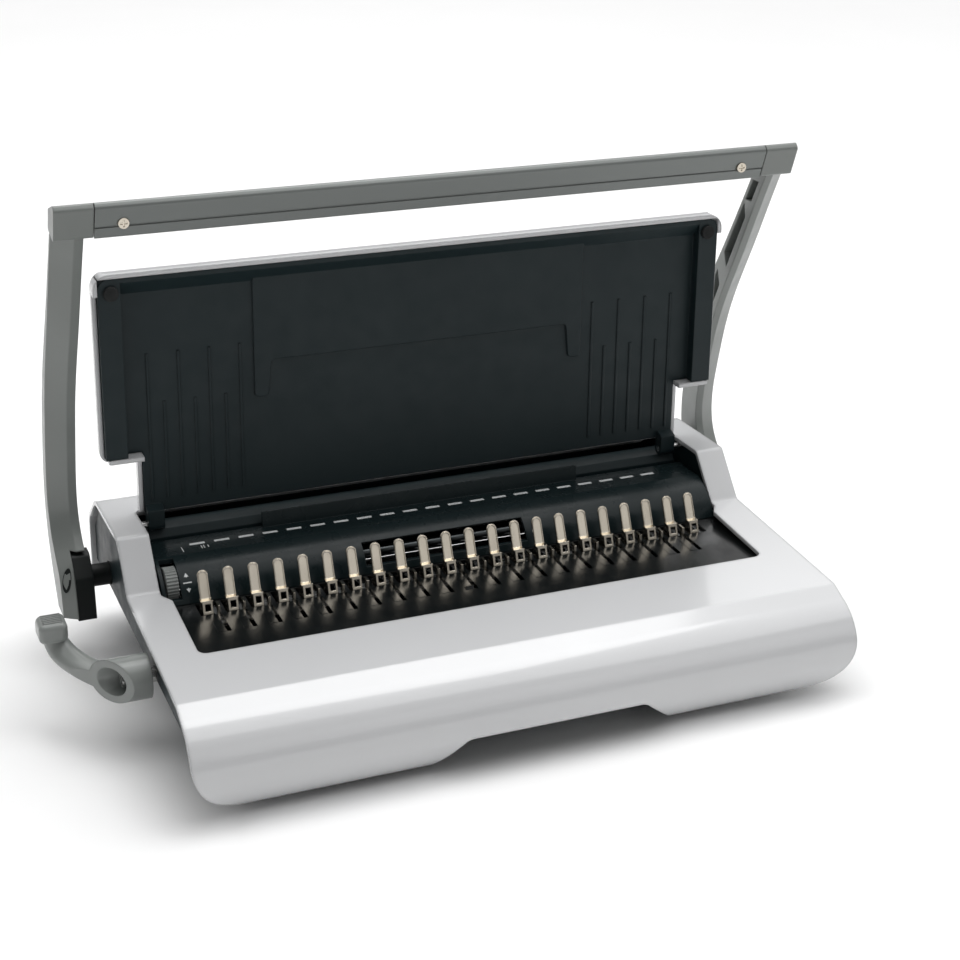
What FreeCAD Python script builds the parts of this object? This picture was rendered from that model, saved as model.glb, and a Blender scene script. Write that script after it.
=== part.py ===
import FreeCAD, Part
import math
import os
import Sketcher

# Manual comb binding machine. Frame: X to the right along the machine, Y to the
# back, Z up; the origin is the middle of the face it rests on. Sizes in mm.

doc = FreeCAD.newDocument("comb_binder")
sheet = doc.addObject("Spreadsheet::Sheet", "Dims")

SIZES = (
    # shell and chassis
    ("shell_half", 190, "half width of the white shell"),
    ("shell_wall", 2.5, "wall of the white shell"),
    ("rear_y", 122, "back face of the shell"),
    ("hump_z", 87, "top of the shoulders"),
    ("shoulder_y", 38, "front crease on top of the shoulders"),
    ("valley_y", 16, "foot of the shoulders, where the rails begin"),
    ("valley_z", 61.5, "height of the rails at the shoulders"),
    ("brow_y", -95.6, "front end of the rails"),
    ("brow_z", 55.4, "height of the rails at the front"),
    ("apron_top_y", -105, "upper edge of the curved apron"),
    ("apron_top_z", 51, "height of that edge"),
    ("apron_low_y", -116, "lower edge of the apron"),
    ("apron_low_z", 5, "height of that edge"),
    ("apron_radius", 28, "curve of the apron seen from the side"),
    ("apron_corner", 30, "rounded lower corners of the apron"),
    ("notch_left", -52, "left end of the lift notch"),
    ("notch_right", 66, "right end of the lift notch"),
    ("notch_top", 20, "height of the lift notch"),
    ("well_half", 167.5, "half width of the opening over the deck"),
    ("well_front", -53.5, "front edge of that opening"),
    ("neck_half", 172, "half width between the shoulders"),
    ("well_rear", 74.5, "rear edge of the opening in the shell"),
    ("chassis_half", 187, "half width of the dark chassis"),
    ("sill_z", 38, "height where the chassis sides turn inwards"),
    ("floor_half", 155, "half width of the chassis at the bottom"),
    # binding deck
    ("deck_top", 54, "top of the steel deck"),
    ("deck_gauge", 1.6, "deck plate thickness"),
    ("station_gap", 14.2875, "comb pitch, 9/16 inch"),
    ("station_count", 22, "upright tines"),
    ("tine_wide", 5.9, "width of a tine"),
    ("tine_top", 74.3, "height of the tine tips"),
    ("hook_travel", 17.5, "forward travel of the hooks"),
    # mechanism axes
    ("drive_y", 81, "handle axis, from front to back"),
    ("drive_z", 46, "handle axis height"),
    ("drive_radius", 6.5, "handle shaft radius"),
    ("drive_pitch_r", 8.6, "pitch radius of the punch pinions"),
    ("lever_y", -34, "comb lever axis"),
    ("lever_z", 40, "comb lever axis height"),
    ("lever_radius", 4, "comb lever shaft radius"),
    ("lever_pitch_r", 9, "pitch radius of the hook pinions"),
    ("adjust_y", 24, "margin shaft axis"),
    ("adjust_z", 61.5, "margin shaft height"),
    ("wheel_radius", 9.6, "thumbwheel radius"),
    ("wheel_x", -164.6, "middle of the thumbwheel"),
    ("tooth_count", 12, "teeth on each pinion"),
    ("nose_radius", 32, "curve of the housing front"),
    # lid
    ("lid_half", 192, "half width of the lid wings"),
    ("lid_neck_half", 170.6, "half width of the lid between the shoulders"),
    ("lid_top", 232.8, "top of the open lid"),
    ("wing_low", 122.5, "lower end of the wings"),
    ("lid_low", 88, "lower end of the open lid"),
    ("lid_face_y", 57.5, "front rim of the open lid"),
    ("lid_panel_y", 65, "face of the recessed inner panel"),
    ("lid_back_y", 71.5, "back of the open lid"),
    ("lid_wall", 2.4, "wall of the lid cover"),
    ("hinge_y", 62.5, "lid hinge axis"),
    ("hinge_z", 81.5, "lid hinge height"),
    # handle
    ("bar_half", 196, "half length of the handle bar"),
    ("arm_inner", 201, "inner face of the handle arms"),
    ("arm_outer", 216.8, "outer face of the handle arms"),
    ("cup_outer", 209, "outer face of the pivot cups"),
    ("arm_reach", 235, "height of the bar above the handle axis"),
)
for row, (alias, value, note) in enumerate(SIZES, start=1):
    sheet.set(f"A{row}", note)
    sheet.set(f"B{row}", str(value))
    sheet.setAlias(f"B{row}", alias)
doc.recompute()


class Dim:
    """A size with its value and the expression that gives it from the sheet."""

    def __init__(self, value, text):
        self.value, self.text = float(value), text

    def _join(self, other, sign, value):
        return Dim(value, f"({self.text}{sign}{written(other)})")

    def __add__(self, other):
        return self._join(other, " + ", self.value + number(other))

    def __sub__(self, other):
        return self._join(other, " - ", self.value - number(other))

    def __mul__(self, other):
        return self._join(other, " * ", self.value * number(other))

    def __truediv__(self, other):
        return self._join(other, " / ", self.value / number(other))

    def __radd__(self, other):
        return as_dim(other) + self

    def __rsub__(self, other):
        return as_dim(other) - self

    def __rmul__(self, other):
        return as_dim(other) * self

    def __neg__(self):
        return as_dim(0) - self


def number(item):
    return item.value if isinstance(item, Dim) else float(item)


def written(item):
    return item.text if isinstance(item, Dim) else f"({float(item):.6f})"


def as_dim(item):
    return item if isinstance(item, Dim) else Dim(item, written(item))


class Sizes:
    """Every size in the sheet, by its alias."""


d = Sizes()
for alias, value, _ in SIZES:
    setattr(d, alias, Dim(value, f"Dims.{alias}"))

PLANES = {"XY": ("XY_Plane", 1), "XZ": ("XZ_Plane", -1), "YZ": ("YZ_Plane", 1)}


def new_body(label):
    body = doc.addObject("PartDesign::Body", label)
    body.Label = label
    return body


def origin_feature(body, role):
    return next(item for item in body.Origin.OriginFeatures if item.Role == role)


def arc_middle(start, end, radius):
    """Middle of the short arc from start to end; a positive radius bulges left."""
    half = (end - start) * 0.5
    reach = abs(radius)
    rise = reach - math.sqrt(reach * reach - half.Length ** 2)
    left = FreeCAD.Vector(-half.y, half.x, 0).normalize()
    return start + half + left * math.copysign(rise, radius)


def add_loop(sketch, loop):
    """One closed outline: ('circle', u, v, r), or corners (u, v) or (u, v, arc radius)."""
    if loop[0] == "circle":
        _, u, v, radius = loop
        centre = FreeCAD.Vector(number(u), number(v), 0)
        index = sketch.addGeometry(
            Part.Circle(centre, FreeCAD.Vector(0, 0, 1), number(radius)), False)
        pin_point(sketch, index, 3, u, v)
        rule = sketch.addConstraint(Sketcher.Constraint("Radius", index, number(radius)))
        sketch.setExpression(f"Constraints[{rule}]", written(radius))
        return
    corners = [FreeCAD.Vector(number(item[0]), number(item[1]), 0) for item in loop]
    pieces = []
    for index, item in enumerate(loop):
        start, end = corners[index], corners[(index + 1) % len(loop)]
        if len(item) == 3:
            middle = arc_middle(start, end, number(item[2]))
            piece = sketch.addGeometry(Part.Arc(start, middle, end), False)
            rule = sketch.addConstraint(
                Sketcher.Constraint("Radius", piece, abs(number(item[2]))))
            size = item[2] if number(item[2]) > 0 else -item[2]
            sketch.setExpression(f"Constraints[{rule}]", written(size))
        else:
            piece = sketch.addGeometry(Part.LineSegment(start, end), False)
        first = (sketch.getPoint(piece, 1) - start).Length < 1e-6
        pieces.append((piece, 1 if first else 2, 2 if first else 1))
    for index, item in enumerate(loop):
        piece, start_end, _ = pieces[index]
        before, _, last_end = pieces[index - 1]
        sketch.addConstraint(
            Sketcher.Constraint("Coincident", before, last_end, piece, start_end))
        pin_point(sketch, piece, start_end, item[0], item[1])


def pin_point(sketch, geometry, point, u, v):
    for kind, size in (("DistanceX", u), ("DistanceY", v)):
        rule = sketch.addConstraint(
            Sketcher.Constraint(kind, -1, 1, geometry, point, number(size)))
        sketch.setExpression(f"Constraints[{rule}]", written(size))


def prism(body, kind, name, plane, loops, low, high):
    """Pad or Pocket of closed outlines between two positions along the plane's axis."""
    role, sense = PLANES[plane]
    sketch = body.newObject("Sketcher::SketchObject", f"{name}_sketch")
    sketch.AttachmentSupport = [(origin_feature(body, role), "")]
    sketch.MapMode = "FlatFace"
    middle = (as_dim(low) + high) * (0.5 * sense)
    sketch.AttachmentOffset = FreeCAD.Placement(
        FreeCAD.Vector(0, 0, middle.value), FreeCAD.Rotation())
    sketch.setExpression(".AttachmentOffset.Base.z", middle.text)
    for loop in loops:
        add_loop(sketch, loop)
    feature = body.newObject(f"PartDesign::{kind}", name)
    feature.Profile = sketch
    feature.SideType = "Symmetric"
    length = as_dim(high) - low
    feature.Length = length.value
    feature.setExpression("Length", length.text)
    sketch.Visibility = False
    return feature


def pad(body, name, plane, loops, low, high):
    return prism(body, "Pad", name, plane, loops, low, high)


def pocket(body, name, plane, loops, low, high):
    return prism(body, "Pocket", name, plane, loops, low, high)


def box(u_low, u_high, v_low, v_high):
    return [(u_low, v_low), (u_high, v_low), (u_high, v_high), (u_low, v_high)]


def both_sides(loop):
    """An outline in X and its mirror image on the other side of the machine."""
    return [loop, [(-as_dim(item[0]), item[1]) + tuple(-as_dim(r) for r in item[2:])
                   for item in loop]]


def repeat(body, name, features, gap, count):
    """The features repeated along X; count is a whole number or a Dim."""
    row = body.newObject("PartDesign::LinearPattern", name)
    row.Originals = features
    row.Direction = (origin_feature(body, "X_Axis"), [""])
    row.setExpression("Occurrences", written(count))
    row.setExpression("Length", ((as_dim(count) - 1) * gap).text)
    body.Tip = row
    return row


def round_edges(body, name, radius, wanted):
    """Fillet the edges of the body so far for which wanted(edge) is true."""
    doc.recompute()
    before = body.Tip
    edges = [f"Edge{index}" for index, edge in enumerate(before.Shape.Edges, start=1)
             if wanted(edge)]
    if not edges:
        raise ValueError(f"{name}: no edge found")
    fillet = body.newObject("PartDesign::Fillet", name)
    fillet.Base = (before, edges)
    fillet.Radius = number(radius)
    fillet.setExpression("Radius", written(radius))
    return fillet


def along(axis, *spots):
    """Test for straight edges along an axis through spots in the other two."""
    others = [index for index in range(3) if index != axis]

    def test(edge):
        if edge.Curve.TypeId != "Part::GeomLine":
            return False
        if abs(edge.Curve.Direction[axis]) < 0.999:
            return False
        middle = edge.CenterOfMass
        return any(math.hypot(middle[others[0]] - number(spot[0]),
                              middle[others[1]] - number(spot[1])) < 0.05
                   for spot in spots)
    return test


# ---------------------------------------------------------------- white shell
def shell_profile():
    t = d.shell_wall
    outer = [(d.rear_y, 30), (d.rear_y, d.hump_z - 21), (d.rear_y - 22, d.hump_z - 2),
             (d.shoulder_y, d.hump_z), (d.valley_y, d.valley_z), (d.brow_y, d.brow_z),
             (d.apron_top_y, d.apron_top_z, -d.apron_radius),
             (d.apron_low_y, d.apron_low_z)]
    inner = [(d.apron_low_y + t, d.apron_low_z, d.apron_radius - t),
             (d.apron_top_y + t * 0.5, d.apron_top_z - t),
             (d.brow_y + t * 0.25, d.brow_z - t), (d.valley_y + t * 0.45, d.valley_z - t),
             (d.shoulder_y + t * 0.45, d.hump_z - t),
             (d.rear_y - 22 - t * 0.35, d.hump_z - 2 - t),
             (d.rear_y - t, d.hump_z - 21 - t * 0.4), (d.rear_y - t, 30)]
    return outer + inner


shell = new_body("top_shell")
profile = shell_profile()
pad(shell, "sheet", "YZ", [profile], -d.shell_half, d.shell_half)
round_edges(shell, "hump_rounding", 18, along(0, profile[2]))
round_edges(shell, "hump_rounding_inside", 15.5, along(0, profile[13]))
round_edges(shell, "rear_rounding", 8, along(0, profile[1], profile[14]))
round_edges(shell, "soft_creases", 3, along(0, profile[3], profile[4], profile[5],
                                            profile[10], profile[11], profile[12]))
well = [(-d.well_half, d.well_front), (d.well_half, d.well_front),
        (d.well_half, d.valley_y - 11), (d.neck_half, d.valley_y - 4),
        (d.neck_half, d.well_rear), (-d.neck_half, d.well_rear),
        (-d.neck_half, d.valley_y - 4), (-d.well_half, d.valley_y - 11)]
pocket(shell, "deck_well", "XY", [well], 45, 95)
round_edges(shell, "well_corners", 5, along(2, well[0], well[1], well[4], well[5]))
corner = [(d.shell_half + 2, d.apron_low_z - 2),
          (d.shell_half + 2, d.apron_low_z + d.apron_corner),
          (d.shell_half, d.apron_low_z + d.apron_corner, d.apron_corner),
          (d.shell_half - d.apron_corner, d.apron_low_z),
          (d.shell_half - d.apron_corner, d.apron_low_z - 2)]
pocket(shell, "lower_corners", "XZ", both_sides(corner), -135, -95)
notch = [(d.notch_left - 10.5, d.apron_low_z - 2), (d.notch_right + 11.5, d.apron_low_z - 2),
         (d.notch_right + 10, d.apron_low_z), (d.notch_right - 8, d.notch_top),
         (d.notch_left + 8, d.notch_top), (d.notch_left - 9, d.apron_low_z)]
pocket(shell, "lift_notch", "XZ", [notch], -135, -95)
round_edges(shell, "notch_corners", 7, along(1, notch[3], notch[4]))

# -------------------------------------------------------------------- chassis
chassis = new_body("chassis")
lid_gap = 0.4
under = [(-76, 6), (-84, 18), (-107, 30), (-107, 42),
         (d.brow_y + 1.5, d.brow_z - d.shell_wall - 1),
         (d.valley_y + 1.2, d.valley_z - d.shell_wall - 0.6),
         (d.shoulder_y + 1.6, d.hump_z - d.shell_wall - lid_gap),
         (d.rear_y - 25, d.hump_z - 2 - d.shell_wall - lid_gap - 0.5),
         (d.rear_y - d.shell_wall - 0.5, d.hump_z - 27),
         (d.rear_y - d.shell_wall - 0.5, 30), (d.rear_y - 8, 6)]
pad(chassis, "block", "YZ", [under], -d.chassis_half, d.chassis_half)
side = [(d.chassis_half + 3, 3), (d.chassis_half + 3, d.sill_z),
        (d.chassis_half, d.sill_z), (d.floor_half, 6), (d.floor_half, 3)]
pocket(chassis, "side_undercut", "XZ", both_sides(side), -125, 130)
pocket(chassis, "upper_well", "XY", [box(-174, 174, d.well_front - 6.5, d.rear_y - 6)],
       d.deck_top - d.deck_gauge - 0.2, 95)
pocket(chassis, "mechanism_well", "XY", [box(-170, 170, d.well_front - 6.5, d.rear_y - 6)], 45, 95)
hollow = [(-d.floor_half + 5, 9), (d.floor_half - 5, 9), (d.chassis_half - 6, d.sill_z + 2),
          (d.chassis_half - 6, 49), (-d.chassis_half + 6, 49),
          (-d.chassis_half + 6, d.sill_z + 2)]
pocket(chassis, "inside", "XZ", [hollow], -72, d.rear_y - 7)
pocket(chassis, "drive_holes", "YZ", [("circle", d.drive_y, d.drive_z, d.drive_radius + 0.7)],
       -195, 195)
pocket(chassis, "lever_hole", "YZ", [("circle", d.lever_y, d.lever_z, d.lever_radius + 0.6)],
       -195, -170)
pocket(chassis, "lid_pin_holes", "YZ", [("circle", d.hinge_y, d.hinge_z, 2.1)], -179, 179)
pocket(chassis, "tray_mouth", "YZ", [box(-13, 50.4, 8.9, 27.2)], 120, 195)

bottom = new_body("bottom_cover")
pad(bottom, "plate", "XY", [box(4 - d.floor_half, d.floor_half - 4, -72, 110)], 4.7, 5.9)
screw_spots = [(-140, -60), (140, -60), (-140, 98), (140, 98), (0, -60), (0, 98)]
pocket(bottom, "screw_holes", "XY", [("circle", x, y, 1.8) for x, y in screw_spots], 4, 7)
pocket(chassis, "screw_holes", "XY", [("circle", x, y, 1.8) for x, y in screw_spots], 5, 8)

screws = new_body("base_screws")
pad(screws, "heads", "XY", [("circle", x, y, 3) for x, y in screw_spots], 3.2, 4.7)
pad(screws, "shanks", "XY", [("circle", x, y, 1.6) for x, y in screw_spots], 4.7, 7.8)
pocket(screws, "drives", "XY", [box(x - 0.5, x + 0.5, y - 1.9, y + 1.9)
                                for x, y in screw_spots], 3, 4)
pocket(screws, "cross_drives", "XY", [box(x - 1.9, x + 1.9, y - 0.5, y + 0.5)
                                      for x, y in screw_spots], 3, 4)

feet = new_body("rubber_feet")
foot_spots = [(-136, -42), (136, -42), (-136, 80), (136, 80)]
pad(feet, "pads", "XY", [("circle", x, y, 8.5) for x, y in foot_spots], 0, 4.7)
round_edges(feet, "foot_edges", 1,
            lambda edge: edge.Curve.TypeId == "Part::GeomCircle" and edge.CenterOfMass.z < 0.1)

# --------------------------------------------------------------- binding deck
FIRST = -(d.station_count - 1) * 0.5 * d.station_gap

deck = new_body("deck_plate")
pad(deck, "plate", "XY", [box(-173.5, 173.5, d.well_front - 6, 17.2)],
    d.deck_top - d.deck_gauge, d.deck_top)
mouth = pocket(deck, "tine_mouth", "XY", [box(FIRST - 4.4, FIRST + 7.4, -5.5, 9.2)], 50, 58)
repeat(deck, "tine_mouths", [mouth], d.station_gap, d.station_count)
slot = pocket(deck, "hook_slot", "XY",
              [box(FIRST + 4.5, FIRST + 7.1, -9.5 - d.hook_travel, 0)], 50, 58)
repeat(deck, "hook_slots", [slot], d.station_gap, d.station_count - 1)
pocket(deck, "gauge_hole", "XY", [box(-7.4, -2.2, -25.5, -21.5)], 50, 58)
pad(deck, "gauge_tab", "YZ", [[(-25.9, 53), (-24.9, 53), (-24.2, 55.2), (-25.2, 55.2)]],
    -7.2, -2.4)

rail = new_body("tine_rail")
pad(rail, "bar", "XY", [box(-160, 160, -5, 9)], 44, 46)

tines = new_body("tines")
half_tine = d.tine_wide * 0.5
blade = pad(tines, "blade", "YZ", [[(1.7, 60.3), (2.7, 59.9), (9.2, d.tine_top),
                                    (8.2, d.tine_top + 0.4)]],
            FIRST - half_tine, FIRST + half_tine)
lip = pad(tines, "lip", "YZ", [[(-1.4, 59.4), (2.9, 59.4), (2.9, 60.4), (-1.4, 60.4)]],
          FIRST - 3.4, FIRST + 3.4)
stem = pad(tines, "stem", "YZ", [[(-1.4, 60.2), (-3.9, 53.2), (-3.9, 46), (-2.9, 46),
                                  (-2.9, 53), (-0.4, 60.2)]], FIRST - 2.6, FIRST + 3)
cheek = pad(tines, "cheek", "YZ", [[(-1.2, 60), (-3.6, 53.2), (-3.6, 46), (6, 46),
                                    (6.4, 52), (2.6, 60)]], FIRST - 2.6, FIRST - 1.8)
window = pocket(tines, "window", "XZ", [box(FIRST - 1.3, FIRST + 1.9, 54.8, 58.6)], -6, -0.2)
repeat(tines, "stations", [blade, lip, stem, cheek, window], d.station_gap, d.station_count)


def tine_tips(edge):
    middle = edge.CenterOfMass
    offset = (middle.x - FIRST.value) / d.station_gap.value
    aside = abs(abs(offset - round(offset)) * d.station_gap.value - half_tine.value)
    return middle.z > d.tine_top.value - 1 and aside < 0.05 and edge.Length < 1.3


round_edges(tines, "tips", 2.6, tine_tips)

# --------------------------------------------- hook plate and hooks (moving)
slider = new_body("hook_plate")
plate_low, plate_high = 50.6, 51.9
pad(slider, "plate", "XY", [box(-158, 158, -14, 34)], plate_low, plate_high)
pad(slider, "side_arms", "XY", both_sides(box(150, 168, d.lever_y - 8, 6)), plate_low, plate_high)
relief = pocket(slider, "tine_relief", "XY",
                [box(FIRST - 4.3, FIRST + 4.3, -7, 10.5 + d.hook_travel)], 50, 53)
repeat(slider, "tine_reliefs", [relief], d.station_gap, d.station_count)

hooks = new_body("comb_hooks")
hook = pad(hooks, "hook", "YZ", [[(-5, plate_high), (-5, 58.5), (0.4, 58.5), (0.4, 57.1),
                                  (-2.4, 56.4), (-2, plate_high)]], FIRST + 5.1, FIRST + 6.5)
repeat(hooks, "hook_row", [hook], d.station_gap, d.station_count - 1)


def rack_teeth(axis_y, axis_z, pitch_r, low, high, top):
    """Outline of a rack above a pinion whose upward tooth stands on the axis."""
    gap = pitch_r * (2 * math.pi / d.tooth_count.value)
    line = axis_z + pitch_r
    points = [(axis_y + high, top), (axis_y + low, top), (axis_y + low, line + 1.3)]
    first = math.ceil(low / gap.value + 0.5)
    last = math.floor(high / gap.value - 0.5)
    for index in range(first, last):
        centre = axis_y + gap * (index + 0.5)
        points += [(centre - gap * 0.27, line + 1.3), (centre - gap * 0.12, line - 1),
                   (centre + gap * 0.12, line - 1), (centre + gap * 0.27, line + 1.3)]
    points.append((axis_y + high, line + 1.3))
    return points


def pinion(axis_y, axis_z, pitch_r):
    """Outline of a pinion with straight-sided teeth, one standing upright."""
    step = 2 * math.pi / d.tooth_count.value
    points = []
    for index in range(int(d.tooth_count.value)):
        for share, radius in ((-0.27, pitch_r - 1.3), (-0.11, pitch_r + 1),
                              (0.11, pitch_r + 1), (0.27, pitch_r - 1.3)):
            angle = math.pi / 2 - (index + share) * step
            points.append((axis_y + radius * math.cos(angle),
                           axis_z + radius * math.sin(angle)))
    return points


rack = rack_teeth(d.lever_y, d.lever_z, d.lever_pitch_r, -7, 24, plate_high)
pad(slider, "left_rack", "YZ", [rack], -166, -160)
pad(slider, "right_rack", "YZ", [rack], 160, 166)

# ----------------------------------------------------------- comb lever parts
lever_shaft = new_body("lever_shaft")
pad(lever_shaft, "rod", "YZ", [("circle", d.lever_y, d.lever_z, d.lever_radius)], -205, 174)
lever_pinions = new_body("lever_pinions")
lever_gear = pinion(d.lever_y, d.lever_z, d.lever_pitch_r)
for name, low, high in (("left", -165.5, -160.5), ("right", 160.5, 165.5)):
    pad(lever_pinions, name, "YZ", [lever_gear, ("circle", d.lever_y, d.lever_z,
                                                 d.lever_radius)], low, high)

lever_blocks = new_body("lever_bearings")
for name, low, high in (("left", -149, -141), ("right", 141, 149)):
    pad(lever_blocks, name, "YZ",
        [box(d.lever_y - 8, d.lever_y + 8, 9, d.lever_z + 7.5)], low, high)
pocket(lever_blocks, "bores", "YZ",
       [("circle", d.lever_y, d.lever_z, d.lever_radius + 0.05)], -160, 160)

# ----------------------------------------------------------- punching section
frames = new_body("side_frames")
cheek_plate = [(51, 29.8), (104, 29.8), (104, 58), (66, 65.5), (52, 65.5)]
for name, low, high in (("left", -168, -165.6), ("right", 165.6, 168)):
    pad(frames, name, "YZ", [cheek_plate], low, high)
pocket(frames, "bores", "YZ", [("circle", d.drive_y, d.drive_z, d.drive_radius + 2.5)],
       -170, 170)

bushes = new_body("drive_bearings")
for name, low, high in (("left", -169, -164.5), ("right", 164.5, 169)):
    pad(bushes, name, "YZ", [("circle", d.drive_y, d.drive_z, d.drive_radius + 2.5),
                             ("circle", d.drive_y, d.drive_z, d.drive_radius + 0.05)],
        low, high)

SLOT_HALF, SLOT_LOW, SLOT_HIGH = 4.1, 58.4, 61.6
die = new_body("die_plate")
pad(die, "plate", "XZ", [box(-165.5, 165.5, 54.2, 65.6)], 54.6, 57.3)
hole = pocket(die, "die_hole", "XZ", [box(FIRST + d.station_gap * 0.5 - SLOT_HALF,
                                          FIRST + d.station_gap * 0.5 + SLOT_HALF,
                                          SLOT_LOW, SLOT_HIGH)], 53, 59)
repeat(die, "die_holes", [hole], d.station_gap, d.station_count - 1)
pocket(die, "stop_arm_gaps", "XZ", both_sides(box(137, 142, 54, 57.4)), 53, 59)

guide = new_body("punch_guide")
pad(guide, "plate", "XZ", [box(-165.5, 165.5, 54.2, 65.6)], 60.6, 63)
hole = pocket(guide, "guide_hole", "XZ", [box(FIRST + d.station_gap * 0.5 - SLOT_HALF,
                                              FIRST + d.station_gap * 0.5 + SLOT_HALF,
                                              SLOT_LOW, SLOT_HIGH)], 59, 64)
repeat(guide, "guide_holes", [hole], d.station_gap, d.station_count - 1)

throat = new_body("throat_guide")
pad(throat, "sheet", "YZ", [[(60.7, 65.8), (63, 65.8), (63, 72.6), (64.6, 75.6), (73.5, 77.4),
                             (73.5, 78.6), (63.6, 76.8), (60.7, 72.8)]], -169, 169)

punch_bar = new_body("punch_bar")
pad(punch_bar, "bar", "YZ", [box(72.6, 80, 56.6, 64)], -160, 160)
punch_rack = rack_teeth(d.drive_y, d.drive_z, d.drive_pitch_r, -8, 15, 58.4)
pad(punch_bar, "left_rack", "YZ", [punch_rack], -153, -147)
pad(punch_bar, "right_rack", "YZ", [punch_rack], 147, 153)

punches = new_body("punches")
pin = pad(punches, "punch", "XZ", [box(FIRST + d.station_gap * 0.5 - SLOT_HALF + 0.06,
                                       FIRST + d.station_gap * 0.5 + SLOT_HALF - 0.06,
                                       SLOT_LOW + 0.06, SLOT_HIGH - 0.06)], 60.9, 72.6)
repeat(punches, "punch_row", [pin], d.station_gap, d.station_count - 1)

drive_shaft = new_body("drive_shaft")
pad(drive_shaft, "rod", "YZ", [("circle", d.drive_y, d.drive_z, d.drive_radius)],
    -d.arm_inner + 2.5, d.arm_inner - 2.5)
drive_pinions = new_body("drive_pinions")
drive_gear = pinion(d.drive_y, d.drive_z, d.drive_pitch_r)
for name, low, high in (("left", -152.5, -147.5), ("right", 147.5, 152.5)):
    pad(drive_pinions, name, "YZ", [drive_gear, ("circle", d.drive_y, d.drive_z,
                                                 d.drive_radius)], low, high)

# ------------------------------------------------------- housing and throat
housing = new_body("punch_housing")
SKIN = 2.2
cover = [(10.5, 54.2, d.nose_radius), (34, 73.3), (34.5, 72.8), (57.4, 72.3), (57.4, 66),
         (57.4 - SKIN, 66), (57.4 - SKIN, 72.3 - SKIN), (35.3, 72.8 - SKIN, SKIN - d.nose_radius),
         (10.5 + SKIN, 54.2)]
filled = [(10.5, 54.2, d.nose_radius), (34, 73.3), (34.5, 72.8), (54, 72.4), (54, 54.2)]
pad(housing, "skin", "YZ", [cover], -171, 171)
for name, low, high in (("left_end", -171, -169.6), ("right_end", 169.6, 171)):
    pad(housing, name, "YZ", [filled], low, high)
pocket(housing, "chip_window", "XZ", [box(-53, 47, 58, 68.6)], 5, 31)
pocket(housing, "wheel_slot", "XZ", [box(d.wheel_x - 4.2, d.wheel_x + 4.2, 56.8, 73.8)],
       5, 32)
pad(housing, "paper_flap", "YZ", [[(54.6, 72.2), (57.4, 72.2), (57.4, 81), (56.4, 81)]],
    -102, 98)

adjust_shaft = new_body("margin_shaft")
pad(adjust_shaft, "rod", "YZ", [("circle", d.adjust_y, d.adjust_z, 2.6)], -168.6, 160)
wheel = new_body("thumbwheel")
KNURLS = 30
rim = []
for knurl in range(KNURLS):
    for share, depth in ((-0.32, 0), (-0.18, 0.5), (0.18, 0.5), (0.32, 0)):
        turn = 2 * math.pi * (knurl + share) / KNURLS
        reach = d.wheel_radius - 0.5 + depth
        rim.append((d.adjust_y + reach * math.cos(turn), d.adjust_z + reach * math.sin(turn)))
pad(wheel, "disc", "YZ", [rim, ("circle", d.adjust_y, d.adjust_z, 2.6)],
    d.wheel_x - 3.3, d.wheel_x + 3.3)
cams = new_body("margin_cams")
for name, low, high in (("left", -141.5, -137.5), ("right", 137.5, 141.5)):
    pad(cams, name, "YZ", [("circle", d.adjust_y + 1.4, d.adjust_z, 4.4),
                           ("circle", d.adjust_y, d.adjust_z, 2.6)], low, high)
brackets = new_body("margin_brackets")
for name, low, high in (("left", -156, -152), ("right", 152, 156)):
    pad(brackets, name, "YZ", [[(20.5, 57.5), (28, 57.5), (38, 66), (50, 70), (36.5, 70.4),
                                (22.5, 62)]], low, high)
pocket(brackets, "bores", "YZ", [("circle", d.adjust_y, d.adjust_z, 2.65)], -158, 158)

stop = new_body("margin_stop")
pad(stop, "bar", "YZ", [box(57.8, 60.2, 54.4, 56.2)], -160, 160)
pad(stop, "arms", "YZ", [box(21, 58, 54.8, 56.6)], -141, -138)
pad(stop, "arms_right", "YZ", [box(21, 58, 54.8, 56.6)], 138, 141)

# ------------------------------------------------------------------- the lid
lid_cover = new_body("lid_cover")
outline = [(-d.lid_half, d.wing_low), (-d.lid_neck_half, d.wing_low),
           (-d.lid_neck_half, d.lid_low), (d.lid_neck_half, d.lid_low),
           (d.lid_neck_half, d.wing_low), (d.lid_half, d.wing_low),
           (d.lid_half, d.lid_top), (-d.lid_half, d.lid_top)]


def inset(wall, foot):
    return [(wall - d.lid_half, d.wing_low + wall), (wall - d.lid_neck_half, d.wing_low + wall),
            (wall - d.lid_neck_half, d.lid_low + foot), (d.lid_neck_half - wall, d.lid_low + foot),
            (d.lid_neck_half - wall, d.wing_low + wall), (d.lid_half - wall, d.wing_low + wall),
            (d.lid_half - wall, d.lid_top - wall), (wall - d.lid_half, d.lid_top - wall)]


pad(lid_cover, "blank", "XZ", [outline], d.lid_face_y, d.lid_back_y)
round_edges(lid_cover, "lid_corners", 9, along(1, outline[6], outline[7]))
round_edges(lid_cover, "wing_corners", 6, along(1, outline[0], outline[5]))
slope = [(d.lid_face_y + 3, d.lid_top + 0.01), (d.lid_back_y + 1, d.lid_top - 1.6),
         (d.lid_back_y + 1, d.lid_top + 1)]
pocket(lid_cover, "falling_top", "YZ", [slope], -d.lid_half - 1, d.lid_half + 1)
round_edges(lid_cover, "back_edges", 5,
            lambda edge: abs(edge.CenterOfMass.y - d.lid_back_y.value) < 0.01
            and edge.CenterOfMass.z > d.wing_low.value - 1)
pocket(lid_cover, "hollow", "XZ", [inset(d.lid_wall, -1)], d.lid_face_y - 1,
       d.lid_back_y - d.lid_wall)
side_rim = box(d.lid_half - 4, d.lid_half + 1, d.wing_low - 1, d.lid_top - 12)
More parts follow.
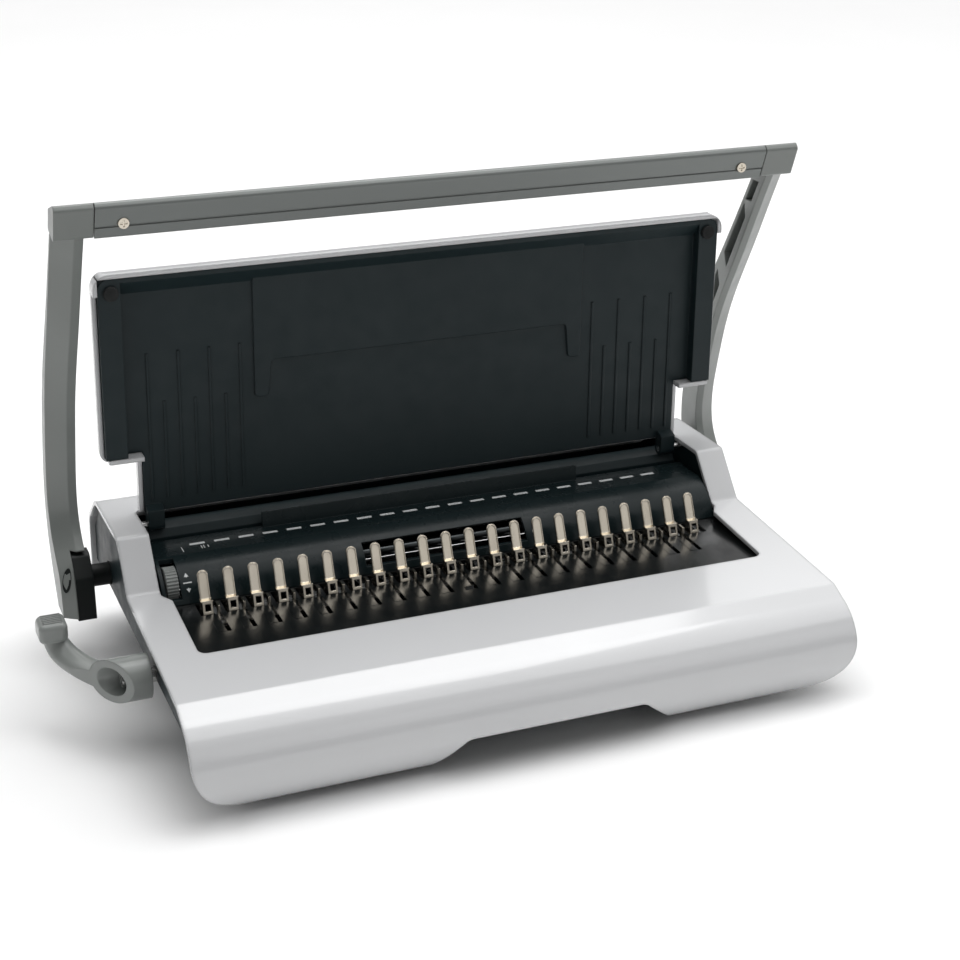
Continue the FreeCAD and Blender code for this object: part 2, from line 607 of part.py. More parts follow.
pocket(lid_cover, "low_side_rims", "XZ", both_sides(side_rim), d.lid_face_y - 1,
       d.lid_face_y + 5)
pocket(lid_cover, "low_neck_rims", "XZ",
       [box(-d.lid_half, d.lid_half, d.lid_low - 1, d.wing_low - 0.1)], d.lid_face_y - 1,
       d.lid_panel_y + 1)

panel = new_body("lid_panel")
PANEL_GAP = 0.3
face_y = d.lid_panel_y
pad(panel, "sheet", "XZ", [inset(d.lid_wall + PANEL_GAP, 0)], face_y,
    d.lid_back_y - d.lid_wall - PANEL_GAP)
wing = box(177, d.lid_half - d.lid_wall - PANEL_GAP, d.wing_low + d.lid_wall + PANEL_GAP,
           d.lid_top - d.lid_wall - PANEL_GAP)
pad(panel, "wings", "XZ", both_sides(wing), d.lid_face_y + 0.6, face_y + 0.5)
pad(panel, "brow", "YZ", [[(d.lid_face_y + 0.8, d.lid_top - 2.8),
                           (d.lid_face_y + 0.8, d.lid_top - 5.5), (face_y + 0.2, d.lid_top - 14),
                           (face_y + 0.2, d.lid_top - 2.8)]], -178, 178)
round_edges(panel, "panel_corners", 6,
            along(1, (d.lid_half - d.lid_wall - PANEL_GAP, d.lid_top - d.lid_wall - PANEL_GAP),
                  (d.lid_wall + PANEL_GAP - d.lid_half, d.lid_top - d.lid_wall - PANEL_GAP)))
bridge = [(-102, d.lid_top - 8), (-102, 150), (-94, 150), (-92, 171.5), (92, 171.5), (94, 150),
          (102, 150), (102, d.lid_top - 8)]
pad(panel, "bridge", "XZ", [bridge], face_y - 1.6, face_y + 0.5)
round_edges(panel, "bridge_corners", 2.5, along(1, *bridge[1:7]))
for side_name, sense in (("left", -1), ("right", 1)):
    for index in range(7):
        x = sense * (163 - 8.85 * index)
        top = 183 if index % 2 == 0 else 154
        pad(panel, f"{side_name}_rib_{index}", "XZ", [box(x - 0.7, x + 0.7, 95, top)],
            face_y - 0.7, face_y + 0.5)
lug = [(d.hinge_y - 4, d.hinge_z), (d.hinge_y + 4, d.hinge_z),
       (d.hinge_y + 4, d.lid_low + 5), (d.hinge_y - 4, d.lid_low + 2.7)]
pad(panel, "lugs", "YZ", [lug], -167.5, -158)
pad(panel, "lugs_right", "YZ", [lug], 158, 167.5)
for name, low, high in (("left_eye", -167.5, -158), ("right_eye", 158, 167.5)):
    pad(panel, name, "YZ", [("circle", d.hinge_y, d.hinge_z, 4)], low, high)
pocket(panel, "lug_bores", "YZ", [("circle", d.hinge_y, d.hinge_z, 2)], -170, 170)

bumpers = new_body("lid_bumpers")
pad(bumpers, "discs", "XZ", [("circle", -182.3, 222, 4.2), ("circle", 182.3, 222, 4.2)],
    d.lid_face_y - 1.6, d.lid_face_y + 0.6)
round_edges(bumpers, "bumper_edges", 0.8,
            lambda edge: abs(edge.CenterOfMass.y - d.lid_face_y.value + 1.6) < 0.01)

pins = new_body("lid_pins")
for name, low, high in (("left", -178, -158), ("right", 158, 178)):
    pad(pins, name, "YZ", [("circle", d.hinge_y, d.hinge_z, 2)], low, high)

# ----------------------------------------------------------------- chip tray
tray = new_body("chip_tray")
pad(tray, "box", "XZ", [[(-147, 9.4), (150.5, 9.4), (165.5, 26.2), (-147, 26.2)]], -12.5, 50)
pocket(tray, "inside", "XY", [box(-145, 146, -10.5, 48)], 11.4, 30)
pad(tray, "pull_lip", "XZ", [[(163.2, 23.6), (171, 23.6), (171, 26.2), (165, 26.2)]], 2, 36)

# -------------------------------------------------------------------- handle
SECTION = ((0, 0), (-6.5, 17.4), (-3.8, 20.2), (9.5, 15.5), (14, 3.5))
bar_y = d.drive_y - 57.5
bar_z = d.drive_z + d.arm_reach - 17.4
section = [(bar_y + dy, bar_z + dz) for dy, dz in SECTION]
bar = new_body("handle_bar")
pad(bar, "bar", "YZ", [section], -d.bar_half + 0.3, d.bar_half - 0.3)
round_edges(bar, "bar_edges", 2, along(0, *section[1:4]))
groove = [(bar_y - 2.9, bar_z + 6.4), (bar_y - 1.9, bar_z + 6.8), (bar_y - 1.6, bar_z + 5.9),
          (bar_y - 2.6, bar_z + 5.5)]
pocket(bar, "groove", "YZ", [groove], -197, 197)

ARM_FRONT = ((-57, 219), (-49, 204), (-40, 186), (-27, 160), (-3, 111), (8, 72), (12, 48),
             (10, 34), (0, 21), (-11, 12), (-17, 0), (-21, -17))
ARM_REAR = ((6, -17), (17, -2), (25, 12), (30, 28), (31, 48), (27, 72), (16, 111), (-10, 160),
            (-25, 186), (-35, 204), (-43, 219))


def across(table, height):
    """Y of an arm edge at a height above the handle axis, straight between points."""
    rows = sorted(table, key=lambda item: item[1])
    for (y_low, z_low), (y_high, z_high) in zip(rows, rows[1:]):
        if z_low <= height <= z_high:
            return y_low + (y_high - y_low) * (height - z_low) / (z_high - z_low)
    raise ValueError("height outside the arm")


def arm_shape(sense):
    scale = d.arm_reach.value / 235
    inner, outer = d.arm_inner.value, d.arm_outer.value
    base_y, base_z = d.drive_y.value, d.drive_z.value

    def place(point, x=inner):
        return FreeCAD.Vector(x, base_y + point[0], base_z + point[1] * scale)

    front = Part.BSplineCurve()
    front.interpolate([place(item) for item in ARM_FRONT])
    rear = Part.BSplineCurve()
    rear.interpolate([place(item) for item in ARM_REAR])
    rim = [front.toShape(), Part.makeLine(place(ARM_FRONT[-1]), place(ARM_REAR[0])),
           rear.toShape(), Part.makeLine(place(ARM_REAR[-1]), place(ARM_FRONT[0]))]
    arm = Part.Face(Part.Wire(rim)).extrude(FreeCAD.Vector(outer - inner, 0, 0))
    long_edges = [edge for edge in arm.Edges if edge.Length > 100
                  and edge.CenterOfMass.x > outer - 1]
    middle_y = sum(edge.CenterOfMass.y for edge in long_edges) / len(long_edges)
    front_edge = [edge for edge in long_edges if edge.CenterOfMass.y < middle_y]
    rear_edge = [edge for edge in long_edges if edge.CenterOfMass.y > middle_y]
    arm = arm.makeFillet(3, rear_edge).makeChamfer(7, 11, front_edge)
    for low, high, slant in ((198, 212, 0), (150, 196, 9), (112, 146, 10), (66, 106, 12)):
        corners = []
        for height, share in ((low, 0.34), (high - slant, 0.34), (high, 0.8), (low + slant, 0.8)):
            edge_front, edge_rear = across(ARM_FRONT, height), across(ARM_REAR, height)
            corners.append(place((edge_front + (edge_rear - edge_front) * share, height),
                                 inner - 1))
        hole = Part.Face(Part.makePolygon(corners + corners[:1]))
        arm = arm.cut(hole.extrude(FreeCAD.Vector(8, 0, 0)))
    seat = Part.makeBox(d.cup_outer.value - inner + 2, 60, 60,
                        FreeCAD.Vector(inner - 2, base_y - 40, base_z - 42))
    arm = arm.cut(seat)
    head = Part.Face(Part.makePolygon(
        [FreeCAD.Vector(d.bar_half.value + 0.2, number(y), number(z))
         for y, z in section + section[:1]]))
    head = head.extrude(FreeCAD.Vector(outer - d.bar_half.value - 0.2, 0, 0))
    head = head.makeFillet(1.8, [edge for edge in head.Edges
                                 if edge.Length > 10 and edge.CenterOfMass.x < outer - 1
                                 and edge.CenterOfMass.x > outer - 15])
    arm = arm.fuse(head).removeSplitter()
    if sense < 0:
        arm = arm.mirror(FreeCAD.Vector(0, 0, 0), FreeCAD.Vector(1, 0, 0))
    return arm


def fixed_shape(label, shape):
    feature = doc.addObject("Part::Feature", label)
    feature.Label = label
    placement = shape.Placement
    feature.Shape = shape
    feature.Placement = placement
    return feature


left_arm = fixed_shape("left_arm", arm_shape(-1))
right_arm = fixed_shape("right_arm", arm_shape(1))

cup = [(d.drive_y - 17, d.drive_z - 19), (d.drive_y + 6, d.drive_z - 19),
       (d.drive_y + 13, d.drive_z - 6), (d.drive_y + 13, d.drive_z + 8),
       (d.drive_y + 6, d.drive_z + 16), (d.drive_y - 4, d.drive_z + 16),
       (d.drive_y - 14, d.drive_z + 5)]
for label, low, high in (("left_cup", -d.cup_outer, -d.arm_inner + 2.5),
                         ("right_cup", d.arm_inner - 2.5, d.cup_outer)):
    piece = new_body(label)
    pad(piece, "cup", "YZ", [cup], low, high)
    round_edges(piece, "cup_edges", 4, along(0, *cup[2:]))

bar_screws = new_body("handle_screws")
screw_z = d.drive_z + d.arm_reach - 9.5
for name, x in (("left", -181), ("right", 181)):
    head = [("circle", x, screw_z, 2.9)]
    pad(bar_screws, f"{name}_head", "XZ", head, d.drive_y - 61.8, d.drive_y - 59.4)
    pocket(bar_screws, f"{name}_drive", "XZ", [box(x - 0.45, x + 0.45, screw_z - 1.9,
                                                   screw_z + 1.9)],
           d.drive_y - 62, d.drive_y - 61.1)
    pocket(bar_screws, f"{name}_cross", "XZ", [box(x - 1.9, x + 1.9, screw_z - 0.45,
                                                   screw_z + 0.45)],
           d.drive_y - 62, d.drive_y - 61.1)
pocket(bar, "screw_seats", "XZ", [("circle", x, screw_z, 3) for x in (-181, 181)],
       d.drive_y - 70, d.drive_y - 59.3)


# ------------------------------------------------------------- lever and coil
def lever_shape():
    y0, z0 = d.lever_y.value, d.lever_z.value
    start = -d.shell_half.value - 0.6
    hub = Part.makeCylinder(12, 29, FreeCAD.Vector(start, y0, z0), FreeCAD.Vector(-1, 0, 0))
    stations = (((-204, y0 + 1, z0 - 1), 8.5, 7), ((-213.5, y0 + 13, z0 - 2), 8, 6),
                ((-220.5, y0 + 24, z0 - 1.5), 7.2, 5.6), ((-228, y0 + 37.5, z0 + 1.5), 6.8, 5.4),
                ((-232.8, y0 + 42.4, z0 + 14), 5.4, 5))
    path = [FreeCAD.Vector(*item[0]) for item in stations]
    rings = []
    for index, (centre, wide, tall) in enumerate(stations):
        before, after = path[max(index - 1, 0)], path[min(index + 1, len(path) - 1)]
        ring = Part.Wire(Part.Ellipse(FreeCAD.Vector(), wide, tall).toShape())
        ring.rotate(FreeCAD.Vector(), FreeCAD.Vector(0, 0, 1), 90)
        ring.Placement = FreeCAD.Placement(
            FreeCAD.Vector(*centre),
            FreeCAD.Rotation(FreeCAD.Vector(1, -0.4, 0), FreeCAD.Vector(0, 0, 1),
                             after - before, "ZXY"))
        rings.append(ring)
    arm = Part.makeLoft(rings, True, False)
    grip = Part.makeBox(15.5, 16.5, 11.5, FreeCAD.Vector(-240.5, y0 + 34, z0 + 8.5))
    grip = grip.makeFillet(3.5, grip.Edges)
    shape = hub.fuse(arm).fuse(grip)
    mouth = Part.makeCylinder(7.8, 30, FreeCAD.Vector(start - 9, y0, z0),
                              FreeCAD.Vector(-1, 0, 0))
    slab = Part.makeBox(60, 40, 60, FreeCAD.Vector(-60, -40, -30))
    slab.rotate(FreeCAD.Vector(), FreeCAD.Vector(0, 0, 1), -52)
    slab.translate(FreeCAD.Vector(start - 8.5, y0 - 14, z0))
    bore = Part.makeCylinder(d.lever_radius.value, 20, FreeCAD.Vector(start + 1, y0, z0),
                             FreeCAD.Vector(-1, 0, 0))
    shape = shape.cut(mouth).cut(slab).cut(bore)
    for index in range(6):
        ridge = Part.makeBox(10.5, 0.9, 1.2, FreeCAD.Vector(-238, y0 + 37 + 1.9 * index,
                                                           z0 + 19.2))
        shape = shape.fuse(ridge)
    return shape.removeSplitter()


lever = fixed_shape("comb_lever", lever_shape())


def coil_shape():
    radius, gap, turns, wire_r = d.drive_radius.value + 2.2, 3, 6, 0.8
    helix = Part.makeHelix(gap, gap * turns, radius)
    ring = Part.Wire(Part.Circle(FreeCAD.Vector(radius, 0, 0), FreeCAD.Vector(0, 1, 0),
                                 wire_r).toShape())
    coil = Part.Wire(helix).makePipeShell([ring], True, True)
    coil.rotate(FreeCAD.Vector(), FreeCAD.Vector(0, 1, 0), 90)
    coil.translate(FreeCAD.Vector(104, d.drive_y.value, d.drive_z.value))
    return coil


coil = fixed_shape("handle_spring", coil_shape())

# -------------------------------------------------------------- check, export
doc.recompute()
pieces = [item for item in doc.Objects
          if item.TypeId == "PartDesign::Body" or item.TypeId == "Part::Feature"]
for item in doc.Objects:
    if "Invalid" in item.State or "Error" in item.State:
        raise ValueError(f"{item.Label} did not recompute: {item.State}")
os.makedirs("parts", exist_ok=True)
for item in pieces:
    if item.Shape.isNull() or not item.Shape.isValid() or not item.Shape.Solids:
        raise ValueError(f"{item.Label} has no valid solid")
    item.Shape.exportStep(f"parts/{item.Label}.step")
    print(f"{item.Label}: {len(item.Shape.Solids)} solids, {item.Shape.Volume / 1000:.1f} cm3")
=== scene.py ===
import math

import bmesh
import bpy
from mathutils import Matrix, Vector
from mathutils.bvhtree import BVHTree


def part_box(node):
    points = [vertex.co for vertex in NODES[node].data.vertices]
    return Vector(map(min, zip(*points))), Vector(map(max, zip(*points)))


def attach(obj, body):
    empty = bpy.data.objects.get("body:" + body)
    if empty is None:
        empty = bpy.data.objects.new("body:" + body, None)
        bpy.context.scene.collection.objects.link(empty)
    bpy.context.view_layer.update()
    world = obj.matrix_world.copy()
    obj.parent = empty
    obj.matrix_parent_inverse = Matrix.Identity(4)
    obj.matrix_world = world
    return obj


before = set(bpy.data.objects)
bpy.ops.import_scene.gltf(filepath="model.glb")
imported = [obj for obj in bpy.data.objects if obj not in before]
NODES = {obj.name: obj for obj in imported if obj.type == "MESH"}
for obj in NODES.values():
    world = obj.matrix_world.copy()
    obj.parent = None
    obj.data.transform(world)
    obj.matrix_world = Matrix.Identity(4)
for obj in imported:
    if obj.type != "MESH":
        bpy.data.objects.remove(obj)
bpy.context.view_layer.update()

# Looks of the comb binding machine: materials, printed marks and small formed details.
# Metres, in the CAD frame: X right, Y back, Z up.

MM = 0.001
TINES = 22
COMB_PITCH = 14.2875 * MM
FIRST_TINE = -COMB_PITCH * (TINES - 1) / 2


# ------------------------------------------------------------------ materials
def link(tree, start, end):
    tree.links.new(start, end)


NOISE_LOW, NOISE_HIGH = 0.3, 0.7     # where nearly all of a noise texture's values lie
TONE_LOW, TONE_HIGH = 0.32, 0.68
COAT_ROUGHNESS = 0.08
WEAR_FINER = 7                       # the gloss varies this much finer than the colour


def noise(tree, coords, scale, detail=4.0, stretch=(1, 1, 1)):
    mapping = tree.nodes.new("ShaderNodeMapping")
    mapping.inputs["Scale"].default_value = stretch
    link(tree, coords, mapping.inputs["Vector"])
    texture = tree.nodes.new("ShaderNodeTexNoise")
    texture.inputs["Scale"].default_value = scale
    texture.inputs["Detail"].default_value = detail
    link(tree, mapping.outputs["Vector"], texture.inputs["Vector"])
    return texture.outputs["Fac"]


def spread(tree, value, low, high):
    """The value's middle band spread from low to high."""
    scaled = tree.nodes.new("ShaderNodeMapRange")
    scaled.inputs["From Min"].default_value = NOISE_LOW
    scaled.inputs["From Max"].default_value = NOISE_HIGH
    scaled.inputs["To Min"].default_value = low
    scaled.inputs["To Max"].default_value = high
    link(tree, value, scaled.inputs["Value"])
    return scaled.outputs["Result"]


def two_tone(tree, value, first, second):
    ramp = tree.nodes.new("ShaderNodeValToRGB")
    ramp.color_ramp.elements[0].position = TONE_LOW
    ramp.color_ramp.elements[1].position = TONE_HIGH
    ramp.color_ramp.elements[0].color = (*first, 1)
    ramp.color_ramp.elements[1].color = (*second, 1)
    link(tree, value, ramp.inputs["Fac"])
    return ramp.outputs["Color"]


def surface(name, first, second, rough, metallic=0.0, coat=0.0, specular=0.5, blotch=9.0,
            grain=900.0, grain_depth=0.00002, stretch=(1, 1, 1), edge=0.0):
    """A procedural finish: colour drift, uneven gloss, fine grain and softened edges."""
    material = bpy.data.materials.new(name)
    material.use_nodes = True
    tree = material.node_tree
    shader = tree.nodes["Principled BSDF"]
    shader.inputs["Metallic"].default_value = metallic
    shader.inputs["Coat Weight"].default_value = coat
    shader.inputs["Coat Roughness"].default_value = COAT_ROUGHNESS
    shader.inputs["Specular IOR Level"].default_value = specular
    place = tree.nodes.new("ShaderNodeTexCoord").outputs["Object"]
    drift = noise(tree, place, blotch, 6.0, stretch)
    link(tree, two_tone(tree, drift, first, second), shader.inputs["Base Color"])
    wear = noise(tree, place, blotch * WEAR_FINER, 5.0, stretch)
    link(tree, spread(tree, wear, rough[0], rough[1]), shader.inputs["Roughness"])
    bump = tree.nodes.new("ShaderNodeBump")
    bump.inputs["Strength"].default_value = 1.0
    bump.inputs["Distance"].default_value = grain_depth
    link(tree, noise(tree, place, grain, 3.0, stretch), bump.inputs["Height"])
    if edge:
        bevel = tree.nodes.new("ShaderNodeBevel")
        bevel.samples = 4
        bevel.inputs["Radius"].default_value = edge
        link(tree, bevel.outputs["Normal"], bump.inputs["Normal"])
    link(tree, bump.outputs["Normal"], shader.inputs["Normal"])
    return material


WHITE = surface("white_gloss", (0.61, 0.615, 0.625), (0.645, 0.65, 0.66), (0.16, 0.23), coat=0.7,
                blotch=5, grain=420, grain_depth=0.000012, edge=0.0026)
DARK = surface("moulded_dark", (0.0090, 0.0180, 0.0205), (0.0120, 0.0220, 0.0245), (0.38, 0.50),
               specular=0.26, blotch=14, grain=1900, grain_depth=0.00003, edge=0.0010)
HOUSING = surface("housing_dark", (0.0080, 0.0150, 0.0165), (0.0110, 0.0185, 0.0200),
                  (0.24, 0.32), specular=0.20, blotch=10, grain=1500, grain_depth=0.00001,
                  edge=0.0006)
GREY = surface("arm_grey", (0.165, 0.178, 0.168), (0.190, 0.204, 0.194), (0.30, 0.42), coat=0.15,
               blotch=12, grain=1600, grain_depth=0.000025, edge=0.0012)
LEVER = surface("lever_grey", (0.225, 0.240, 0.230), (0.255, 0.270, 0.260), (0.28, 0.38), coat=0.25,
                blotch=14, grain=1600, grain_depth=0.000015, edge=0.0010)
BLACK = surface("black_plastic", (0.0045, 0.0070, 0.0066), (0.0080, 0.0105, 0.0100), (0.36, 0.48),
                specular=0.25, blotch=16, grain=1700, grain_depth=0.00003, edge=0.0008)
BAR = surface("bar_grey", (0.160, 0.172, 0.166), (0.182, 0.195, 0.188), (0.28, 0.38),
              metallic=0.35, blotch=8, grain=900, grain_depth=0.000008, stretch=(0.05, 1, 1),
              edge=0.0008)
DECK = surface("deck_black", (0.0040, 0.0050, 0.0052), (0.0062, 0.0072, 0.0074), (0.16, 0.26),
               coat=0.2, specular=0.8, blotch=20, grain=1400, grain_depth=0.000006)
NICKEL = surface("tine_nickel", (0.66, 0.600, 0.500), (0.74, 0.680, 0.580), (0.19, 0.27),
                 metallic=1.0, blotch=22, grain=2600, grain_depth=0.000003,
                 stretch=(1, 1, 0.15), edge=0.0004)
SHAFT = surface("dark_shaft", (0.060, 0.066, 0.068), (0.085, 0.092, 0.094), (0.24, 0.34),
                metallic=1.0, blotch=30, grain=1500, grain_depth=0.000004, stretch=(0.1, 1, 1))
STEEL = surface("bright_steel", (0.52, 0.52, 0.51), (0.62, 0.62, 0.61), (0.18, 0.32),
                metallic=1.0, blotch=40, grain=1800, grain_depth=0.000008,
                stretch=(0.1, 1, 1))
RUBBER = surface("rubber", (0.010, 0.011, 0.011), (0.016, 0.017, 0.017), (0.62, 0.80),
                 specular=0.3, blotch=30, grain=2200, grain_depth=0.00005)
PRINT = surface("white_print", (0.68, 0.70, 0.70), (0.76, 0.78, 0.78), (0.42, 0.55), blotch=40,
                grain=1500, grain_depth=0.00001)

FINISHES = {
    WHITE: ("top_shell", "lid_cover"),
    DARK: ("chassis", "bottom_cover", "throat_guide", "lid_panel"),
    HOUSING: ("punch_housing",),
    GREY: ("left_arm", "right_arm"),
    LEVER: ("comb_lever", "thumbwheel"),
    BLACK: ("left_cup", "right_cup", "chip_tray", "lever_bearings", "drive_bearings",
            "margin_cams", "drive_shaft"),
    BAR: ("handle_bar",),
    DECK: ("deck_plate",),
    NICKEL: ("tines", "comb_hooks", "handle_screws"),
    SHAFT: ("margin_shaft",),
    RUBBER: ("rubber_feet", "lid_bumpers"),
}
finished = {node: finish for finish, names in FINISHES.items() for node in names}
for node, piece in NODES.items():
    piece.data.materials.clear()
    piece.data.materials.append(finished.get(node, STEEL))


# ------------------------------------------------------------ pieces in mesh code
def new_piece(name, build, body, finish, smooth=True):
    """A piece whose mesh build(bm) makes, riding on a CAD body."""
    mesh = bpy.data.meshes.new(name)
    bm = bmesh.new()
    build(bm)
    bmesh.ops.recalc_face_normals(bm, faces=bm.faces)
    bm.to_mesh(mesh)
    bm.free()
    piece = bpy.data.objects.new(name, mesh)
    bpy.context.scene.collection.objects.link(piece)
    mesh.materials.append(finish)
    if smooth:
        mesh.shade_smooth()
        mesh.set_sharp_from_angle(angle=math.radians(38))
    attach(piece, body)
    return piece


def plate(bm, outline, lift):
    """A thin plate: the outline's points and the same points moved by lift."""
    low = [bm.verts.new(point) for point in outline]
    high = [bm.verts.new(Vector(point) + Vector(lift)) for point in outline]
    bm.faces.new(low[::-1])
    bm.faces.new(high)
    for index in range(len(outline)):
        after = (index + 1) % len(outline)
        bm.faces.new((low[index], low[after], high[after], high[index]))


def rounded(width, depth, radius, steps=5):
    """A rectangle with rounded corners, about its middle."""
    points = []
    for quarter, (sx, sy) in enumerate(((1, 1), (-1, 1), (-1, -1), (1, -1))):
        for step in range(steps + 1):
            turn = math.pi / 2 * (quarter + step / steps)
            points.append((sx * (width / 2 - radius) + radius * math.cos(turn),
                           sy * (depth / 2 - radius) + radius * math.sin(turn)))
    return points


def tube(bm, path, radius, sides=8):
    """A round bead along the path's points, with closed ends."""
    rings = []
    for index, point in enumerate(path):
        before, after = path[max(index - 1, 0)], path[min(index + 1, len(path) - 1)]
        along = (Vector(after) - Vector(before)).normalized()
        turn = along.to_track_quat("Z", "Y").to_matrix()
        rings.append([bm.verts.new(Vector(point) + turn @ Vector(
            (radius * math.cos(2 * math.pi * side / sides),
             radius * math.sin(2 * math.pi * side / sides), 0))) for side in range(sides)])
    for first, second in zip(rings, rings[1:]):
        for side in range(sides):
            after = (side + 1) % sides
            bm.faces.new((first[side], first[after], second[after], second[side]))
    bm.faces.new(rings[0][::-1])
    bm.faces.new(rings[-1])


# raised rims round the face of each tine
TINE_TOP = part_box("tines")[1].z
TINE_HALF = 2.95 * MM
FOOT_Y, FOOT_Z = 1.62 * MM, 60.6 * MM
TIP_Y, TIP_Z = 7.95 * MM, TINE_TOP - 0.2 * MM
RIM = 0.42 * MM
RIM_START = 0.02
ARCH_STEPS = 12


def tine_face(x, share):
    return (x, FOOT_Y + (TIP_Y - FOOT_Y) * share, FOOT_Z + (TIP_Z - FOOT_Z) * share)


def tine_rims(bm):
    inside = TINE_HALF - RIM
    length = math.hypot(TIP_Y - FOOT_Y, TIP_Z - FOOT_Z)
    for index in range(TINES):
        middle = FIRST_TINE + COMB_PITCH * index
        path = [tine_face(middle - inside, RIM_START)]
        for step in range(ARCH_STEPS + 1):
            turn = math.pi * (1 - step / ARCH_STEPS)
            share = 1 - (inside + RIM) / length * (1 - math.sin(turn))
            path.append(tine_face(middle + inside * math.cos(turn), share - RIM / length))
        path.append(tine_face(middle + inside, RIM_START))
        tube(bm, path, RIM, 6)


new_piece("tine_rims", tine_rims, "base", NICKEL)

# pressed tongues beside the hook slots
DECK_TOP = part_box("tine_rail")[1].z + 8 * MM
TONGUE_WIDE, TONGUE_LONG, TONGUE_UP = 4.6 * MM, 19 * MM, 0.3 * MM
TONGUE_SHIFT, TONGUE_Y = 4.2 * MM, -17.2 * MM
TONGUE_SUNK, TONGUE_CORNER, TONGUE_EDGE = 0.1 * MM, 0.8 * MM, 0.12 * MM


def tongues(bm):
    for index in range(TINES - 1):
        middle = FIRST_TINE + COMB_PITCH * index + TONGUE_SHIFT - TONGUE_WIDE / 2
        outline = [(middle + u, TONGUE_Y + v, DECK_TOP - TONGUE_SUNK)
                   for u, v in rounded(TONGUE_WIDE, TONGUE_LONG, TONGUE_CORNER, 3)]
        plate(bm, outline, (0, 0, TONGUE_UP))
    bmesh.ops.bevel(bm, geom=[e for e in bm.edges if min(v.co.z for v in e.verts) > DECK_TOP],
                    offset=TONGUE_EDGE, segments=2, affect="EDGES")


new_piece("deck_tongues", tongues, "base", DECK)

# printed marks on the housing: one dash behind each gap, and page-size ticks
MARK_Y, MARK_Z = 46.7 * MM, 72.5 * MM
PRINT_LIFT = (0, 0, 0.13 * MM)
DASH = (8.8 * MM, 2.3 * MM, 0.3 * MM)                      # length, width, corner
TICK_Y, TICK_WIDE, TICK_CORNER = 41.3 * MM, 0.45 * MM, 0.15 * MM
TICK_Z = MARK_Z + 0.1 * MM
TICKS = ((-152.6, 6.5), (-141.6, 4.2), (-140.2, 4.2), (-137.8, 3))    # place, length in mm


def printed_marks(bm):
    for index in range(TINES - 1):
        middle = FIRST_TINE + COMB_PITCH * (index + 0.5)
        plate(bm, [(middle + u, MARK_Y + v, MARK_Z) for u, v in rounded(*DASH, 3)],
              PRINT_LIFT)
    for x, long in TICKS:
        plate(bm, [(x * MM + u, TICK_Y + v, TICK_Z)
                   for u, v in rounded(TICK_WIDE, long * MM, TICK_CORNER, 2)], PRINT_LIFT)


new_piece("printed_marks", printed_marks, "base", PRINT, smooth=False)

# an up-and-down sign beside the thumbwheel, and black ovals on the handle arms that are painted
# shade: a dark sheet standing in for the shade in an oval recess
RAY_START, DRAPE_SUNK = 60 * MM, 0.05 * MM


def drape(bm, node, middle, out, outlines, thick):
    """Thin plates lying on a CAD node where outlines about middle fall against out."""
    skin = BVHTree.FromObject(NODES[node], bpy.context.evaluated_depsgraph_get())
    place = NODES[node].matrix_world
    across = Vector((0, 0, 1)).cross(out).normalized()
    upward = out.cross(across)
    for outline in outlines:
        draped = []
        for u, v in outline:
            start = middle + across * u + upward * v + out * RAY_START
            hit = skin.ray_cast(place.inverted() @ start, place.inverted().to_3x3() @ -out)[0]
            draped.append(place @ hit - out * DRAPE_SUNK)
        plate(bm, draped, out * thick)


NOSE_OUT = Vector((0, -0.94, 0.34)).normalized()
WHEEL_LOW, WHEEL_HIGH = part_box("thumbwheel")
SIGN_MIDDLE = (WHEEL_LOW + WHEEL_HIGH) / 2
SIGN_MIDDLE.x = WHEEL_HIGH.x + 5.2 * MM
SIGN_THICK = 0.15 * MM
SIGN_MM = [[(-0.3, -3.4), (0.3, -3.4), (0.3, 3.4), (-0.3, 3.4)],
           [(-1.3, 3.2), (1.3, 3.2), (0, 5.2)], [(-1.3, -3.2), (0, -5.2), (1.3, -3.2)],
           [(-2.4, -0.3), (2.4, -0.3), (2.4, 0.3), (-2.4, 0.3)]]
SIGN = [[(u * MM, v * MM) for u, v in outline] for outline in SIGN_MM]


def wheel_sign(bm):
    drape(bm, "punch_housing", SIGN_MIDDLE, NOSE_OUT, SIGN, SIGN_THICK)


new_piece("wheel_sign", wheel_sign, "base", PRINT, smooth=False)

OVAL_HALF_WIDE, OVAL_HALF_TALL, OVAL_POINTS = 2.6 * MM, 6.5 * MM, 40
OVAL = [(OVAL_HALF_WIDE * math.cos(2 * math.pi * k / OVAL_POINTS),
         OVAL_HALF_TALL * math.sin(2 * math.pi * k / OVAL_POINTS)) for k in range(OVAL_POINTS)]
OVAL_IN, OVAL_Y, OVAL_Z, OVAL_THICK = 3.8 * MM, 71 * MM, 50 * MM, 0.25 * MM
ARM_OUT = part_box("right_arm")[1].x
# each arm's black oval is painted shade: a thin black plate where the outer face has a shaded oval
# recess
for side, name in ((-1, "left_arm"), (1, "right_arm")):
    facing = Vector((side * 0.54, -0.84, 0)).normalized()
    middle = Vector((side * (ARM_OUT - OVAL_IN), OVAL_Y, OVAL_Z))
    new_piece(name + "_painted_shade_oval", lambda bm: drape(bm, name, middle, facing, [OVAL], OVAL_THICK),
              "handle", BLACK)


# ------------------------------------------------------------ floor and lights
FLOOR_HALF = 9
mesh = bpy.data.meshes.new("floor")
bm = bmesh.new()
bmesh.ops.create_grid(bm, x_segments=8, y_segments=8, size=FLOOR_HALF)
bm.to_mesh(mesh)
bm.free()
ground = bpy.data.objects.new("floor", mesh)
bpy.context.scene.collection.objects.link(ground)
mesh.materials.append(surface("floor_white", (0.93, 0.93, 0.93), (0.95, 0.95, 0.95),
                              (0.75, 0.85), specular=0.2, blotch=2, grain=200))

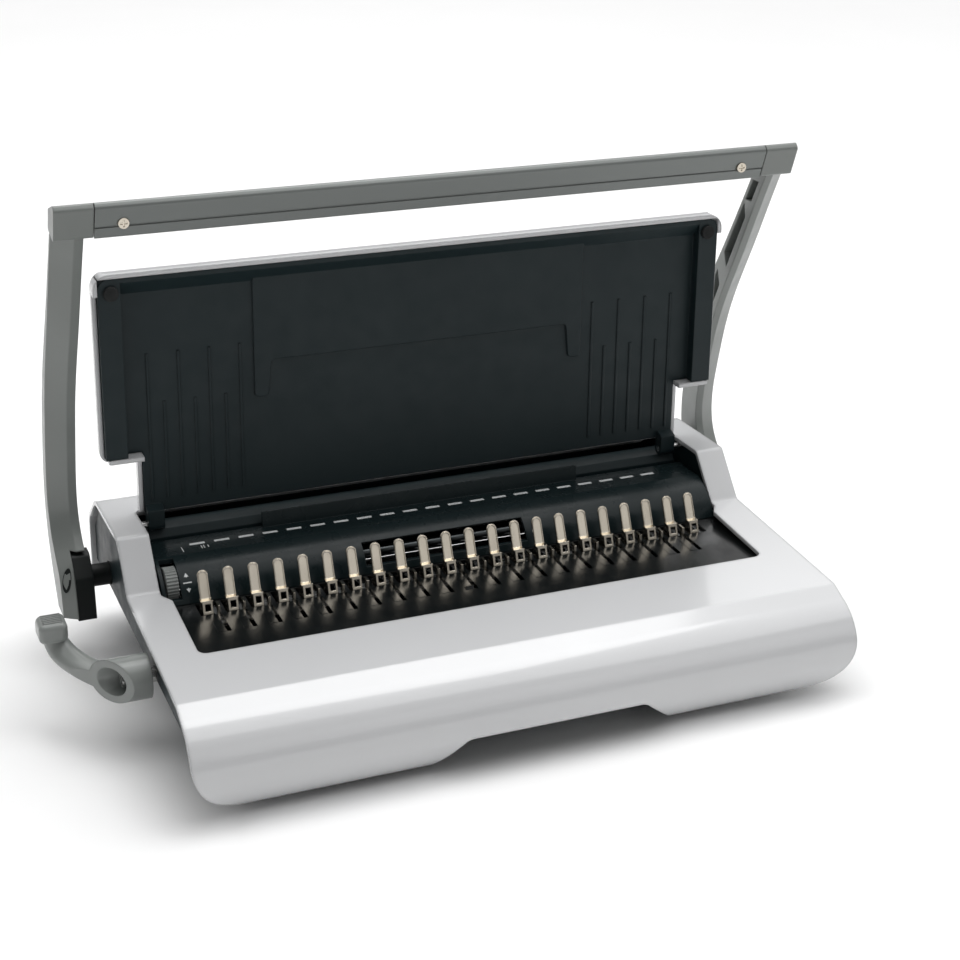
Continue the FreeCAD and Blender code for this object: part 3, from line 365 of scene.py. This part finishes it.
WORLD_STRENGTH = 0.20
world = bpy.data.worlds.new("studio")
bpy.context.scene.world = world
world.use_nodes = True
world.node_tree.nodes["Background"].inputs["Color"].default_value = (1.0, 1.0, 1.0, 1)
world.node_tree.nodes["Background"].inputs["Strength"].default_value = WORLD_STRENGTH


def softbox(name, spot, target, width, height, power):
    lamp = bpy.data.lights.new(name, "AREA")
    lamp.shape = "RECTANGLE"
    lamp.size, lamp.size_y, lamp.energy = width, height, power
    holder = bpy.data.objects.new(name, lamp)
    holder.location = spot
    holder.rotation_euler = (Vector(target) - Vector(spot)).to_track_quat("-Z", "Y").to_euler()
    bpy.context.scene.collection.objects.link(holder)


CENTRE = (0, 0, 0.12)
softbox("overhead", (0.5, 1.3, 3.0), (0.2, 0.7, 0), 7.0, 6.0, 190)
softbox("top", (0.15, 0.25, 1.30), (0, 0, 0), 1.1, 0.6, 7)
softbox("front", (0.85, -1.9, 1.0), CENTRE, 1.3, 0.8, 1.8)
softbox("side", (2.4, -0.2, 0.8), CENTRE, 1.0, 0.9, 4)

# --------------------------------------------------------------------- camera
YAW, PITCH, ROLL = (math.radians(angle) for angle in (22.51, 19.05, 0.84))
CAMERA_SPOT = (-0.36762, -0.91022, 0.53447)
LENS_MM, SENSOR_MM, SHIFT = 70.58, 36.0, -0.15
heading = Vector((math.sin(YAW), math.cos(YAW), 0))
ahead = heading * math.cos(PITCH) - Vector((0, 0, math.sin(PITCH)))
level = Vector((math.cos(YAW), -math.sin(YAW), 0))
upright = level.cross(ahead)
right = level * math.cos(ROLL) + upright * math.sin(ROLL)
up = right.cross(ahead)
lens = bpy.data.cameras.new("camera")
lens.lens, lens.sensor_width = LENS_MM, SENSOR_MM
lens.shift_y = SHIFT
camera = bpy.data.objects.new("camera", lens)
camera.matrix_world = Matrix.Translation(CAMERA_SPOT) @ Matrix(
    (right, up, -ahead)).transposed().to_4x4()
bpy.context.scene.collection.objects.link(camera)
bpy.context.scene.camera = camera
bpy.context.scene.view_settings.view_transform = "Standard"
